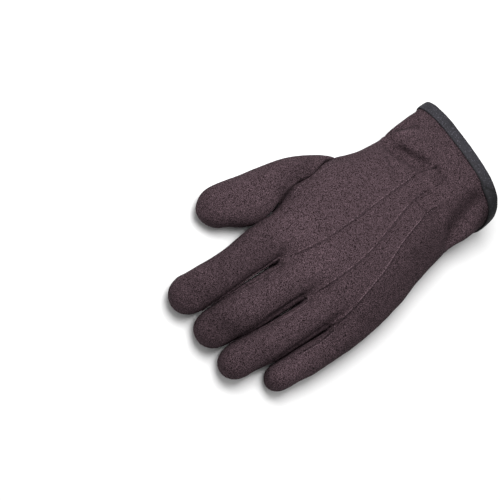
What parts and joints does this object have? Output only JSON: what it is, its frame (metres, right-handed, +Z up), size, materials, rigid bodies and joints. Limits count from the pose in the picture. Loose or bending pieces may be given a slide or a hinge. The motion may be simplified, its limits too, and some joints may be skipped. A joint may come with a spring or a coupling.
{
  "type": "cotton work glove",
  "caption": "Slip-on brushed cotton jersey work glove for the left hand, with ribbed back, set-in thumb, side strips between the fingers and a bound open cuff.",
  "frame": {"origin": "middle of the outline, on the floor under the palm", "axes": "+Y to the fingertips, +X to the thumb side, +Z up through the back of the hand"},
  "size_m": [0.144, 0.2532, 0.0444],
  "materials": {
    "jersey_back": "brown cotton jersey, brushed and matt",
    "jersey_palm": "brown cotton jersey, brushed and matt",
    "jersey_thumb": "brown cotton jersey, brushed and matt",
    "jersey_side_strip": "brown cotton jersey, brushed and matt",
    "binding_tape": "black woven tape, slight sheen"
  },
  "bodies": {
    "root": {"back_panel": "jersey_back", "palm_panel": "jersey_palm", "thumb": "jersey_thumb", "fourchette_index_middle": "jersey_side_strip", "fourchette_middle_ring": "jersey_side_strip", "fourchette_ring_little": "jersey_side_strip", "cuff_binding": "binding_tape"}
  },
  "joints": []
}
